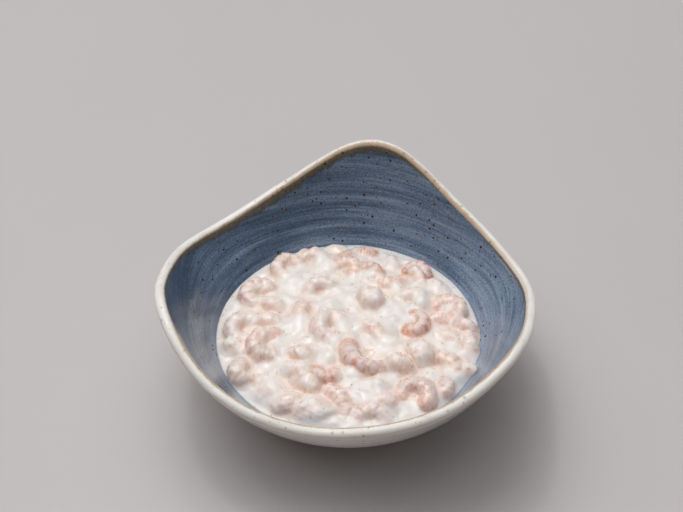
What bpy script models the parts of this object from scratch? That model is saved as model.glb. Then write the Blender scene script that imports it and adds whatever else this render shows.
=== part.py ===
"""Shrimp salad served in a three-cornered stoneware bowl.

Units are metres and +Z is up. The bowl stands on z = 0, and the box round the
whole is centred on the origin. There are two pieces: the bowl, turned round
and then pulled into three corners, and the salad, one body of thick dressing
with the curled shrimps that show fused on.
"""

import math
import random

import bmesh
import bpy
from mathutils import Matrix, Vector

MM = 0.001

# Bowl, as it was thrown: a profile turned about the bowl's axis.
AXIS = Vector((0.3, -3.4, 0.0)) * MM        # stands off the origin, which centres the outer box
RIM_RADIUS = 90.0 * MM                      # centre of the lip
RIM_HEIGHT = 63.0 * MM
LIP = 2.75 * MM                             # half the thickness of the round lip
RIM_SLOPE = math.radians(66)                # of the wall just under the lip
WAIST_RADIUS = 68.6 * MM                    # middle of the wall, where the side turns up
WAIST_HEIGHT = 26.8 * MM
WAIST_SLOPE = math.radians(47.5)
HALF_WALL = 2.55 * MM
HALF_FLOOR = 3.0 * MM
FLOOR_HEIGHT = 6.6 * MM                     # middle of the floor
FLOOR_RADIUS = 25.0 * MM                    # the floor is flat as far as this
LOW_HANDLE = 15.0 * MM                      # how far the side's curve follows its end slopes
HIGH_HANDLE = 14.0 * MM
FOOT_OUTER = 41.0 * MM
FOOT_INNER = 35.0 * MM
FOOT_FLARE = 1.6 * MM                       # the foot ring widens upwards by this
RECESS = 3.4 * MM                           # height of the hollow inside the foot ring

# Bowl, as it was pulled while soft: three corners, out and up, and the small waves left
# by hand. Rows are (waves round the rim, out and up as cosines, out and up as sines) in
# millimetres. The first three rows are the corners; the others put it out of true.
FIRST_CORNER = math.radians(79.9)
PULLS = ((3, 3.1, 12.8, 0.0, 0.0), (6, 0.6, 1.5, 0.0, 0.0), (9, 0.2, 0.7, 0.0, 0.0),
         (1, -0.7, -0.2, -0.2, 0.4), (2, -1.0, 0.4, 0.7, 0.1), (4, -0.3, 0.0, -0.3, 0.0),
         (5, 1.9, 0.0, 0.8, 0.0))
PULL_POWER = 1.5                            # how sharply the pull grows from the waist to the rim
MIDDLE_POWER = 4                            # how sharply it fades towards the axis

# Salad
LEVEL = 28.5 * MM                           # where the dressing meets the wall
MOUND = 6.0 * MM                            # the heap's middle stands above its edge
WALL_GAP = 0.4 * MM                         # clear of the glaze all round
SHRIMP_GAP = 1.8 * MM                       # a shrimp by the wall is pressed in as far as this
SHRIMP_GIRTH = 4.6 * MM                     # half the thickness of a shrimp in its coat of dressing
TAIL_TUCK = 0.14                            # the tail's end curls in tighter than the head's
TAIL_TAPER = 0.32                           # and is thinner
ROUND_END = 0.8                             # how far both ends are rounded off
END_POWER = 6

# Mesh fineness
COLUMNS = 72
SIDE_STEPS = 5
LIP_STEPS = 5
MOUND_RINGS = 5

# How a shrimp lies: (lean, degrees swept by the curl, radius of the curl).
# A lean of 0 lies flat and shows its whole curl; 90 stands and shows its back.
LIES = {
    "curl": (12, 240, 7.2 * MM),
    "half": (38, 215, 7.2 * MM),
    "back": (74, 165, 7.0 * MM),
    "long": (60, 110, 12.0 * MM),
    "hook": (14, 140, 12.0 * MM),
    "stub": (66, 120, 5.2 * MM),
    "small": (20, 195, 5.2 * MM),
}

# The shrimps that show, from the back of the bowl to the front, in millimetres
# from the bowl's axis: (how it lies, x, y, the way its back faces in degrees,
# how far its middle stands above the dressing, thickness against the usual).
SHRIMPS = (
    ("stub", -7, 59, 90, 0.2, 0.90),
    ("stub", 9, 57, 80, 1.0, 0.90),
    ("curl", -20, 50, 95, 0.8, 1.00),
    ("back", 22, 50, 10, -0.6, 0.90),
    ("back", -2, 50, 150, 1.6, 0.90),
    ("curl", -31, 45, 170, 2.2, 1.00),
    ("small", 36, 41, 80, 2.6, 0.95),
    ("small", 11, 40, 60, 1.8, 0.90),
    ("small", -1, 44, 50, 1.8, 0.90),
    ("half", 23, 37, 270, 1.8, 0.95),
    ("half", 32, 37, 20, 1.0, 0.95),
    ("back", 45, 31, 30, -0.6, 1.05),
    ("half", -14, 25, 110, 1.6, 1.00),
    ("curl", -46, 24, 165, 2.2, 1.10),
    ("back", 32, 21, 100, 1.6, 1.00),
    ("stub", 9, 18, 60, 1.2, 1.70),
    ("stub", -41, 15, 60, 1.8, 1.00),
    ("curl", 51, 14, 55, 2.2, 1.05),
    ("back", -22, 9, 159, 1.8, 1.00),
    ("small", 34, 3, -10, 2.4, 1.00),
    ("stub", 46, 5, 90, 0.8, 0.85),
    ("stub", -42, 3, 80, 1.8, 0.95),
    ("back", 57, 2, 60, 2.2, 1.10),
    ("curl", -52, 0, 160, 1.8, 1.00),
    ("curl", -8, -3, 165, 2.0, 1.10),
    ("back", 50, -6, 60, 0.4, 0.95),
    ("long", 8, -7, 60, 1.2, 0.90),
    ("back", 59, -8, 20, 1.6, 1.00),
    ("curl", -40, -13, 192, 2.6, 1.12),
    ("stub", -58, -12, 90, 0.8, 0.95),
    ("stub", 33, -18, 30, 2.6, 1.45),
    ("hook", 12, -19, 225, 2.2, 1.05),
    ("stub", -25, -21, 80, 1.8, 1.10),
    ("half", 46, -26, 50, 1.8, 1.05),
    ("stub", 23, -28, 80, 2.6, 1.25),
    ("small", -50, -29, 215, 2.0, 1.10),
    ("stub", 57, -28, 80, 1.4, 0.95),
    ("stub", -27, -31, 60, 2.0, 1.05),
    ("small", -11, -31, 270, 2.0, 0.95),
    ("stub", 45, -37, 10, 1.8, 1.05),
    ("stub", -21, -39, 80, 2.2, 1.15),
    ("curl", 32, -44, 80, 2.4, 1.05),
    ("back", -38, -43, 95, 1.0, 1.05),
    ("long", -10, -48, 44, 1.6, 1.05),
    ("back", 5, -47, 95, 0.2, 0.95),
    ("stub", 16, -50, 90, 1.6, 1.00),
    ("stub", -30, -51, 90, 2.0, 1.20),
    ("back", -18, -55, 95, 2.2, 1.50),
    ("half", 10, -58, 100, 1.4, 1.05),
)
SHRIMP_POINTS = 8                           # along one shrimp
GROWTH = 0.06                               # sizes and turns vary by about this share
SEED = 7


def clear_scene():
    for obj in list(bpy.data.objects):
        bpy.data.objects.remove(obj, do_unlink=True)


def new_collection(name):
    collection = bpy.data.collections.new(name)
    bpy.context.scene.collection.children.link(collection)
    return collection


def material(name, colour, roughness):
    mat = bpy.data.materials.new(name)
    mat.use_nodes = True
    shader = mat.node_tree.nodes["Principled BSDF"]
    shader.inputs["Base Color"].default_value = (*colour, 1.0)
    shader.inputs["Roughness"].default_value = roughness
    shader.inputs["Metallic"].default_value = 0.0
    return mat


def bezier(start, start_handle, end_handle, end, steps):
    """Points along a cubic curve, without its start."""
    points = []
    for i in range(1, steps + 1):
        t = i / steps
        s = 1 - t
        points.append(s ** 3 * start + 3 * s * s * t * start_handle
                      + 3 * s * t * t * end_handle + t ** 3 * end)
    return points


def along(angle):
    return Vector((math.cos(angle), math.sin(angle)))


def wall_line():
    """The middle of the thrown wall as (radius, height), from the floor to the lip."""
    floor = Vector((FLOOR_RADIUS, FLOOR_HEIGHT))
    waist = Vector((WAIST_RADIUS, WAIST_HEIGHT))
    rim = Vector((RIM_RADIUS, RIM_HEIGHT))
    low = bezier(floor, floor + Vector((LOW_HANDLE, 0)), waist - LOW_HANDLE * along(WAIST_SLOPE),
                 waist, SIDE_STEPS)
    high = bezier(waist, waist + HIGH_HANDLE * along(WAIST_SLOPE),
                  rim - HIGH_HANDLE * along(RIM_SLOPE), rim, SIDE_STEPS)
    return [floor, *low, *high]


def half_thickness(height):
    """Half the wall: thick in the floor, thinner up the side, and full at the lip."""
    if height < WAIST_HEIGHT:
        share = (height - FLOOR_HEIGHT) / (WAIST_HEIGHT - FLOOR_HEIGHT)
        return HALF_FLOOR + (HALF_WALL - HALF_FLOOR) * share
    share = (height - WAIST_HEIGHT) / (RIM_HEIGHT - WAIST_HEIGHT)
    return HALF_WALL + (LIP - HALF_WALL) * share


def faces_of_wall():
    """The thrown wall's inner and outer lines, both from the floor up."""
    line = wall_line()
    inner, outer = [], []
    for i, point in enumerate(line):
        before = line[max(i - 1, 0)]
        after = line[min(i + 1, len(line) - 1)]
        direction = (after - before).normalized()
        if i == 0:
            direction = Vector((1, 0))
        if i == len(line) - 1:
            direction = along(RIM_SLOPE)
        inward = Vector((-direction.y, direction.x)) * half_thickness(point.y)
        inner.append(point + inward)
        outer.append(point - inward)
    return inner, outer


def pull(point):
    """Move a point of the thrown round bowl to where the pulled corners take it."""
    turn = math.atan2(point.y, point.x)
    radius = math.hypot(point.x, point.y)
    height = min(max(point.z - WAIST_HEIGHT, 0.0) / (RIM_HEIGHT - LIP - WAIST_HEIGHT), 1.0)
    nearness = min(radius / WAIST_RADIUS, 1.0) ** MIDDLE_POWER
    share = height ** PULL_POWER * nearness * MM
    out = up = 0.0
    for waves, out_cos, up_cos, out_sin, up_sin in PULLS:
        wave = waves * (turn - FIRST_CORNER)
        out += out_cos * math.cos(wave) + out_sin * math.sin(wave)
        up += up_cos * math.cos(wave) + up_sin * math.sin(wave)
    radius += out * share
    return Vector((radius * math.cos(turn), radius * math.sin(turn), point.z + up * share))


def turned_mesh(name, profile):
    """Turn a profile of (radius, height) points about Z, and pull it with the bowl."""
    mesh = bpy.data.meshes.new(name)
    mesh.from_pydata([(p.x, 0.0, p.y) for p in profile],
                     [(i, i + 1) for i in range(len(profile) - 1)], [])
    obj = bpy.data.objects.new(name, mesh)
    bpy.context.scene.collection.objects.link(obj)
    screw = obj.modifiers.new("turn", "SCREW")
    screw.steps = COLUMNS
    screw.render_steps = COLUMNS
    screw.use_merge_vertices = True
    screw.merge_threshold = 0.01 * MM
    bpy.context.view_layer.update()
    solid = bpy.data.meshes.new_from_object(obj.evaluated_get(bpy.context.evaluated_depsgraph_get()))
    bpy.data.objects.remove(obj, do_unlink=True)
    solid.name = name
    for vertex in solid.vertices:
        vertex.co = pull(vertex.co) + AXIS
    return solid


def make_bowl(collection):
    """The stoneware bowl: inside, round lip, outside, foot ring and recess."""
    inner, outer = faces_of_wall()
    rim = Vector((RIM_RADIUS, RIM_HEIGHT))
    lip = [rim + LIP * along(RIM_SLOPE + math.pi / 2 - math.pi * i / LIP_STEPS)
           for i in range(1, LIP_STEPS)]
    outside = [p for p in reversed(outer) if p.x > FOOT_OUTER + 2 * FOOT_FLARE]
    foot_top = outside[-1].y - FOOT_FLARE
    foot = [Vector((FOOT_OUTER + FOOT_FLARE, foot_top)), Vector((FOOT_OUTER, 0)),
            Vector((FOOT_INNER, 0)), Vector((FOOT_INNER - FOOT_FLARE, RECESS))]
    profile = [Vector((0, inner[0].y)), *inner, *lip, *outside, *foot, Vector((0, RECESS))]
    bowl = bpy.data.objects.new("bowl", turned_mesh("bowl", profile))
    collection.objects.link(bowl)
    bowl.data.materials.append(material("stoneware", (0.62, 0.58, 0.52), 0.25))
    bowl.data.shade_smooth()
    bowl.data.set_sharp_from_angle(angle=math.radians(40))
    return bowl


def skin_height(radius, edge):
    """Height of the dressing between the shrimps."""
    return LEVEL + MOUND * (1 - min(radius / edge, 1.0) ** 2)


def core_profile():
    """The dressing's outline: along the glaze, a small gap off it, and over the mound."""
    inner, _ = faces_of_wall()
    wall = []
    for i, point in enumerate(inner):
        direction = (inner[i + 1] - inner[max(i - 1, 0)]).normalized()
        off = point + Vector((-direction.y, direction.x)) * WALL_GAP
        if off.y > LEVEL:
            last = wall[-1]
            wall.append(last + (off - last) * ((LEVEL - last.y) / (off.y - last.y)))
            break
        wall.append(off)
    edge = wall[-1].x
    top = [Vector((edge * i / MOUND_RINGS, 0)) for i in range(MOUND_RINGS)]
    for point in top:
        point.y = skin_height(point.x, edge)
    return [*top, *reversed(wall), Vector((0, wall[0].y))], edge


def press_in(point, inner):
    """Keep a point of a shrimp inside the bowl: where it would cross the wall it moves in."""
    for low, high in zip(inner, inner[1:]):
        if low.y <= point.z <= high.y:
            wall = low.x + (high.x - low.x) * (point.z - low.y) / (high.y - low.y)
            radius = math.hypot(point.x, point.y)
            if radius > wall - SHRIMP_GAP:
                share = (wall - SHRIMP_GAP) / radius
                return Vector((point.x * share, point.y * share, point.z))
    return point


def shrimp_body(name, lie, place, turn, rise, girth, edge):
    """One peeled shrimp: a tapering tube along an arc, thick at the head end."""
    lean, sweep, bend = LIES[lie]
    curve = bpy.data.curves.new(name, "CURVE")
    curve.dimensions = "3D"
    curve.bevel_depth = SHRIMP_GIRTH * girth
    curve.bevel_resolution = 2
    curve.use_fill_caps = True
    spline = curve.splines.new("POLY")
    spline.points.add(SHRIMP_POINTS - 1)
    for i, point in enumerate(spline.points):
        t = i / (SHRIMP_POINTS - 1)
        angle = math.radians(sweep) * (t - 0.5)
        reach = bend * (1 - TAIL_TUCK * t)
        point.co = (reach * math.cos(angle), reach * math.sin(angle), 0, 1)
        round_end = math.sqrt(1 - ROUND_END * (2 * t - 1) ** END_POWER)
        point.radius = (1 - TAIL_TAPER * t * t) * round_end
    body = bpy.data.objects.new(name, curve)
    bpy.context.scene.collection.objects.link(body)
    skin = skin_height(math.hypot(place.x, place.y), edge)
    sunk = bend * math.sin(math.radians(lean))
    centre = Vector((place.x, place.y, skin + rise - sunk))
    body.matrix_world = (Matrix.Translation(centre) @ Matrix.Rotation(math.radians(turn), 4, "Z")
                         @ Matrix.Rotation(math.radians(-lean), 4, "Y"))
    bpy.context.view_layer.update()
    depsgraph = bpy.context.evaluated_depsgraph_get()
    mesh = bpy.data.meshes.new_from_object(body.evaluated_get(depsgraph))
    mesh.transform(body.matrix_world)
    bpy.data.objects.remove(body, do_unlink=True)
    shape = bmesh.new()
    shape.from_mesh(mesh)
    bmesh.ops.remove_doubles(shape, verts=shape.verts, dist=0.001 * MM)
    bmesh.ops.recalc_face_normals(shape, faces=shape.faces)
    inner, _ = faces_of_wall()
    for vertex in shape.verts:
        vertex.co = press_in(vertex.co, inner) + AXIS
    shape.to_mesh(mesh)
    shape.free()
    return mesh


def make_salad(collection):
    """The dressing and, fused on by one union, the shrimps that show in it."""
    rng = random.Random(SEED)
    profile, edge = core_profile()
    salad = bpy.data.objects.new("salad", turned_mesh("salad", profile))
    collection.objects.link(salad)
    pieces = new_collection("shrimps")
    for number, (lie, x, y, turn, rise, girth) in enumerate(SHRIMPS):
        place = Vector((x, y, 0)) * MM
        turn += 180 * GROWTH * rng.uniform(-1, 1)
        girth *= 1 + GROWTH * rng.uniform(-1, 1)
        name = f"shrimp_{number:02d}"
        body = shrimp_body(name, lie, place, turn, rise * MM, girth, edge)
        pieces.objects.link(bpy.data.objects.new(name, body))
    union = salad.modifiers.new("fuse", "BOOLEAN")
    union.operation = "UNION"
    union.operand_type = "COLLECTION"
    union.collection = pieces
    union.solver = "MANIFOLD"
    bpy.context.view_layer.update()
    depsgraph = bpy.context.evaluated_depsgraph_get()
    fused = bpy.data.meshes.new_from_object(salad.evaluated_get(depsgraph))
    salad.modifiers.clear()
    salad.data = fused
    fused.name = "salad"
    for piece in list(pieces.objects):
        bpy.data.objects.remove(piece, do_unlink=True)
    bpy.data.collections.remove(pieces)
    fused.materials.clear()
    fused.materials.append(material("dressed shrimps", (0.86, 0.78, 0.70), 0.3))
    fused.shade_smooth()
    fused.set_sharp_from_angle(angle=math.radians(50))
    return salad


clear_scene()
dish = new_collection("shrimp_salad")
make_bowl(dish)
make_salad(dish)
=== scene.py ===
"""The looks of a shrimp salad in its three-cornered stoneware bowl, in metres, +Z up."""
import math
import random

import bmesh
import bpy
import numpy as np
from mathutils import Matrix, Vector


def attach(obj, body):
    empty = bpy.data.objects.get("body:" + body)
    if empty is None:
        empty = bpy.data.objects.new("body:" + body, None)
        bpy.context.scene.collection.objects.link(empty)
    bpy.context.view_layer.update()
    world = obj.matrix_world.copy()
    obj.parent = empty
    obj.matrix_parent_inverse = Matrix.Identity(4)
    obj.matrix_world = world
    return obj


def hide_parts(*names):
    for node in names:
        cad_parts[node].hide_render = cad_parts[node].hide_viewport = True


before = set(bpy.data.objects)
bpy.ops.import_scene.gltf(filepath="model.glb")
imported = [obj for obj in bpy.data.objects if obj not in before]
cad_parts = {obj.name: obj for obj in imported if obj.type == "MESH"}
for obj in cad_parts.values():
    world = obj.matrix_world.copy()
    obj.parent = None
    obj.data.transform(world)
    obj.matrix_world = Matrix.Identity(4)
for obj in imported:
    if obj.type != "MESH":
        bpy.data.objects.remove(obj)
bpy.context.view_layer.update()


# ---- Bowl -----------------------------------------------------------------------------------------
# Stoneware, thrown round on a wheel and pulled by hand into three corners while it was soft. Its wall
# is a profile turned about the bowl's axis; the pull grows from the waist to the rim. Blue glaze
# lies inside and cream glaze on the lip and outside, and both break to brown along the edge.
MM = 0.001
AXIS = np.array((0.3, -3.4, 0.0)) * MM          # the turning axis, off the middle of the outer box
RIM = np.array((90.0, 63.0)) * MM               # centre of the lip as thrown: radius, height
RIM_SLOPE = math.radians(66)
LIP = 2.65 * MM                                 # half the thickness of the round lip
WAIST = np.array((68.6, 26.8)) * MM             # middle of the wall, where the side turns up
WAIST_SLOPE = math.radians(47.5)
FLOOR = np.array((25.0, 6.6)) * MM              # the floor is flat as far as this
HALF_WALL = 2.55 * MM
HALF_FLOOR = 3.0 * MM
LOW_HANDLE = 15.0 * MM                          # how far the side's curve follows its end slopes
HIGH_HANDLE = 14.0 * MM
FOOT_OUTER = 41.0 * MM
FOOT_INNER = 35.0 * MM
FOOT_FLARE = 1.6 * MM
FOOT_BEVEL = 0.5 * MM                           # of the foot ring's lower edges
FOOT_SWELL = 0.3 * MM                           # how much wider the ring is above them
RECESS = 3.4 * MM                               # height of the hollow inside the foot ring
FIRST_CORNER = math.radians(79.9)               # the way that the first corner points
PULL_POWER = 1.5                                # how late the pull sets in above the waist
CALM_POWER = 4                                  # and how soon it dies away towards the axis
# Waves round the rim: (how many, out and up as cosines, out and up as sines, in millimetres).
PULLS = ((3, 3.1, 12.8, 0.0, 0.0), (6, 0.6, 1.5, 0.0, 0.0), (9, 0.2, 0.7, 0.0, 0.0),
         (1, -0.7, -0.2, -0.2, 0.4), (2, -1.0, 0.4, 0.7, 0.1), (4, -0.3, 0.0, -0.3, 0.0),
         (5, 1.9, 0.0, 0.8, 0.0))
BOWL_COLUMNS = 360                              # points round the bowl
SIDE_STEPS = 44                                 # up each half of the wall
LIP_STEPS = 18                                  # and over the lip
RING_DEPTH = 0.07 * MM                          # relief that the potter's fingers left
RING_SPACINGS = (5.2 * MM, 2.9 * MM, 1.7 * MM)
RING_PHASE = 2.1                                # radians between one spacing's rings and the next's
RINGS_FROM_LIP = 4 * MM                         # no rings nearer to the lip's crest
RINGS_SET_IN = 6 * MM                           # from there to their full depth
RINGS_FROM_FOOT = 4 * MM                        # and none nearer to the foot ring


def along(angle):
    return np.array((math.cos(angle), math.sin(angle)))


def bezier(start, handle, end_handle, end, steps):
    """Points along a cubic curve, without its start."""
    t = np.linspace(0, 1, steps + 1)[1:, None]
    return ((1 - t) ** 3 * start + 3 * (1 - t) ** 2 * t * handle
            + 3 * (1 - t) * t * t * end_handle + t ** 3 * end)


def faces_of_wall(steps):
    """The thrown wall's inner and outer lines as (radius, height), both from the floor up."""
    low = bezier(FLOOR, FLOOR + (LOW_HANDLE, 0), WAIST - LOW_HANDLE * along(WAIST_SLOPE), WAIST, steps)
    high = bezier(WAIST, WAIST + HIGH_HANDLE * along(WAIST_SLOPE),
                  RIM - HIGH_HANDLE * along(RIM_SLOPE), RIM, steps)
    line = np.vstack((FLOOR, low, high))
    direction = np.gradient(line, axis=0)
    direction[0] = (1, 0)
    direction[-1] = along(RIM_SLOPE)
    direction /= np.linalg.norm(direction, axis=1)[:, None]
    half = np.interp(line[:, 1], (FLOOR[1], WAIST[1], RIM[1]), (HALF_FLOOR, HALF_WALL, LIP))
    inward = np.stack((-direction[:, 1], direction[:, 0]), axis=1) * half[:, None]
    return line + inward, line - inward


def pull(points):
    """Move points of the round thrown bowl to where the pulled corners take them."""
    turn = np.arctan2(points[:, 1], points[:, 0])
    radius = np.hypot(points[:, 0], points[:, 1])
    height = np.clip((points[:, 2] - WAIST[1]) / (RIM[1] - LIP - WAIST[1]), 0, 1)
    share = height ** PULL_POWER * np.clip(radius / WAIST[0], 0, 1) ** CALM_POWER * MM
    out = np.zeros(len(points))
    up = np.zeros(len(points))
    for waves, out_cos, up_cos, out_sin, up_sin in PULLS:
        wave = waves * (turn - FIRST_CORNER)
        out += out_cos * np.cos(wave) + out_sin * np.sin(wave)
        up += up_cos * np.cos(wave) + up_sin * np.sin(wave)
    radius = radius + out * share
    return np.stack((radius * np.cos(turn), radius * np.sin(turn), points[:, 2] + up * share), axis=1)


def mesh_object(name, points, faces):
    """A new smooth mesh object of these points and faces."""
    mesh = bpy.data.meshes.new(name)
    mesh.from_pydata(points.tolist(), [], [list(face) for face in faces])
    mesh.shade_smooth()
    piece = bpy.data.objects.new(name, mesh)
    bpy.context.scene.collection.objects.link(piece)
    return piece


def add_attribute(piece, name, values):
    """Store one number for each vertex, for the material to read."""
    attribute = piece.data.attributes.new(name, "FLOAT", "POINT")
    attribute.data.foreach_set("value", np.asarray(values, dtype=np.float32))


def finger_rings(profile):
    """Shallow rings of uneven spacing up a wall, as a share of their full depth."""
    height = profile[:, 1]
    waves = [math.sin(4 * i) + np.sin(2 * math.pi * height / gap + i * RING_PHASE)
             for i, gap in enumerate(RING_SPACINGS)]
    return np.sum(waves, axis=0) / len(RING_SPACINGS)


inner_line, outer_line = faces_of_wall(SIDE_STEPS)
lip_turns = RIM_SLOPE + math.pi / 2 - math.pi * np.arange(1, LIP_STEPS) / LIP_STEPS
lip_line = RIM + LIP * np.stack((np.cos(lip_turns), np.sin(lip_turns)), axis=1)
outside = outer_line[outer_line[:, 0] > FOOT_OUTER + 2 * FOOT_FLARE][::-1]
foot_steps = np.array(((FOOT_OUTER + FOOT_FLARE, outside[-1, 1] - FOOT_FLARE),
                       (FOOT_OUTER + FOOT_SWELL, FOOT_BEVEL), (FOOT_OUTER - FOOT_BEVEL, 0),
                       (FOOT_INNER + FOOT_BEVEL, 0), (FOOT_INNER - FOOT_SWELL, FOOT_BEVEL),
                       (FOOT_INNER - FOOT_FLARE, RECESS), (FOOT_INNER / 2, RECESS)))
profile = np.vstack((inner_line[:1] * (0.5, 1), inner_line, lip_line, outside, foot_steps))
travelled = np.concatenate(([0], np.cumsum(np.linalg.norm(np.diff(profile, axis=0), axis=1))))
lip_crest = np.argmax(profile[:, 1])
from_lip = travelled - travelled[lip_crest]     # below 0 inside the bowl, above 0 outside

normal = np.gradient(profile, axis=0)
normal = np.stack((-normal[:, 1], normal[:, 0]), axis=1)
normal /= np.linalg.norm(normal, axis=1)[:, None]
on_wall = np.clip((np.abs(from_lip) - RINGS_FROM_LIP) / RINGS_SET_IN, 0, 1)
on_wall *= profile[:, 0] > FOOT_OUTER + RINGS_FROM_FOOT
profile = profile - normal * (RING_DEPTH * on_wall * finger_rings(profile))[:, None]

turns = np.arange(BOWL_COLUMNS) * 2 * math.pi / BOWL_COLUMNS
rows = len(profile)
ring_points = np.stack((profile[:, None, 0] * np.cos(turns), profile[:, None, 0] * np.sin(turns),
                        np.broadcast_to(profile[:, None, 1], (rows, BOWL_COLUMNS))), axis=2)
poles = np.array(((0, 0, profile[0, 1]), (0, 0, profile[-1, 1])))
bowl_points = pull(np.vstack((ring_points.reshape(-1, 3), poles))) + AXIS
number = np.arange(rows * BOWL_COLUMNS).reshape(rows, BOWL_COLUMNS)
beside = np.roll(number, -1, axis=1)
quads = np.stack((number[:-1], number[1:], beside[1:], beside[:-1]), axis=2).reshape(-1, 4)
inside_fan = [(rows * BOWL_COLUMNS, a, b) for a, b in zip(number[0], beside[0])]
under_fan = [(rows * BOWL_COLUMNS + 1, b, a) for a, b in zip(number[-1], beside[-1])]
bowl = mesh_object("stoneware_bowl", bowl_points, [*quads.tolist(), *inside_fan, *under_fan])
add_attribute(bowl, "from_lip", np.concatenate((np.repeat(from_lip, BOWL_COLUMNS),
                                                (from_lip[0], from_lip[-1]))))


class Shade:
    """An output socket in a tree of nodes. Arithmetic on it adds Math nodes."""

    def __init__(self, tree, output=None):
        self.tree = tree
        self.output = output

    def node(self, kind, inputs=None, output=0, stops=None, **settings):
        """Add any node: its settings first, then its sockets' values or links."""
        node = self.tree.nodes.new(kind)
        for name, value in settings.items():
            setattr(node, name, value)
        if stops:
            ramp = node.color_ramp
            while len(ramp.elements) < len(stops):
                ramp.elements.new(1.0)
            for element, (place, colour) in zip(ramp.elements, stops):
                element.position = place
                element.color = colour
        for name, value in (inputs or {}).items():
            if isinstance(value, Shade):
                self.tree.links.new(value.output, node.inputs[name])
            else:
                node.inputs[name].default_value = value
        return Shade(self.tree, node.outputs[output])

    def maths(self, operation, *values):
        return self.node("ShaderNodeMath", dict(enumerate(values)), operation=operation)

    def __add__(self, other):
        return self.maths("ADD", self, other)

    def __sub__(self, other):
        return self.maths("SUBTRACT", self, other)

    def __rsub__(self, other):
        return self.maths("SUBTRACT", other, self)

    def __mul__(self, other):
        return self.maths("MULTIPLY", self, other)

    def __truediv__(self, other):
        return self.maths("DIVIDE", self, other)

    __radd__ = __add__
    __rmul__ = __mul__

    def rise(self, low, high):
        """0 below low, 1 above high, and a smooth step between them."""
        return self.node("ShaderNodeMapRange", {"Value": self, "From Min": low, "From Max": high},
                         interpolation_type="SMOOTHSTEP")

    def mix(self, first, second):
        """A colour between two, by this share of the second."""
        return self.node("ShaderNodeMix", {0: self, 6: first, 7: second}, 2, data_type="RGBA")

    def noise(self, scale, detail=2.0, roughness=0.5):
        """Cloudy noise over this vector, about 0 to 1."""
        return self.node("ShaderNodeTexNoise", {"Vector": self, "Scale": scale, "Detail": detail,
                                                "Roughness": roughness})

    def bump(self, height, distance, strength=1.0):
        return self.node("ShaderNodeBump", {"Height": height, "Distance": distance,
                                            "Strength": strength})


def srgb(red, green, blue):
    """A colour as seen on a screen, 0 to 255, made linear for a socket."""
    parts = [c / 255 for c in (red, green, blue)]
    return (*[p / 12.92 if p <= 0.04045 else ((p + 0.055) / 1.055) ** 2.4 for p in parts], 1.0)


def new_material(name, **constants):
    """A material, the start of its node expressions, and its shader with these sockets set."""
    material = bpy.data.materials.new(name)
    material.use_nodes = True
    shader = material.node_tree.nodes["Principled BSDF"]
    for socket, value in constants.items():
        shader.inputs[socket.replace("_", " ")].default_value = value
    return material, Shade(material.node_tree), shader


def plug(shader, **links):
    """Join expressions to a shader's sockets."""
    for socket, value in links.items():
        value.tree.links.new(value.output, shader.inputs[socket.replace("_", " ")])


# Colours of the glaze. A ramp's are given as (place on the ramp, colour).
BLUES = ((0.62, srgb(66, 84, 106)), (0.80, srgb(104, 123, 147)), (0.98, srgb(148, 164, 183)))
CREAMS = ((0.35, srgb(242, 235, 226)), (0.6, srgb(255, 252, 247)))
# Painted reflection: a paler, greyer blue low on the front wall.
REFLECTED_PALE_BLUE = srgb(172, 180, 192)                 # low on the front wall
# Painted shade: a greyer cream on the outside, below the lip.
SHADED_LOWER_CREAM = srgb(212, 209, 206)               # on the outside, below the lip
OLIVES = (srgb(78, 68, 52), srgb(128, 118, 96))  # where the glaze broke inside the lip
TANS = (srgb(172, 134, 94), srgb(222, 194, 160))  # the lines along both sides of the lip
RUST = srgb(124, 98, 68)
IRON = srgb(34, 27, 22)
FINE_IRON = srgb(52, 44, 40)
BARE_CLAY = srgb(196, 178, 152)
IRON_CELLS = 430.0                              # cells of the spots' pattern on a metre
FINE_CELLS = 1000.0
SPOT_POWER = 4.0                                # how many more of the spots are small than large
GLAZE_END = 66.0                                # millimetres from the lip's crest to the bare clay

glaze, nodes, shader = new_material("fired_glaze", IOR=1.62)
place = nodes.node("ShaderNodeTexCoord", output="Object")
centred = nodes.node("ShaderNodeVectorMath", {0: place, 1: tuple(AXIS)}, operation="SUBTRACT")
flat = nodes.node("ShaderNodeVectorMath", {0: centred, 1: (1, 1, 0)}, operation="MULTIPLY")
round_way = nodes.node("ShaderNodeVectorMath", {0: flat}, operation="NORMALIZE")
above_table = nodes.node("ShaderNodeSeparateXYZ", {0: centred}, output="Z")
# Millimetres along the wall from the lip's crest, below 0 inside the bowl and above 0 outside.
lip = nodes.node("ShaderNodeAttribute", output="Fac", attribute_name="from_lip") / MM


def streaks(length, fineness, detail=3.0):
    """Noise drawn out round the bowl: long one way, fine up the wall."""
    stretched = nodes.node("ShaderNodeVectorMath", {0: round_way, "Scale": length}, operation="SCALE")
    up = nodes.node("ShaderNodeCombineXYZ", {"Z": above_table * fineness})
    both = nodes.node("ShaderNodeVectorMath", {0: stretched, 1: up}, operation="ADD")
    return both.noise(1.0, detail, 0.6)


def spots(scale, smallest, largest):
    """Round specks: each cell of a Voronoi pattern holds one of random size, most of them tiny."""
    cell = {"Vector": place, "Scale": scale}
    distance = nodes.node("ShaderNodeTexVoronoi", cell)
    draw = nodes.node("ShaderNodeSeparateColor",
                      {0: nodes.node("ShaderNodeTexVoronoi", cell, "Color")}, output="Red")
    size = smallest + (largest - smallest) * draw.maths("POWER", draw, SPOT_POWER)
    return (size * scale - distance).rise(0.0, 0.04)


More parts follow.
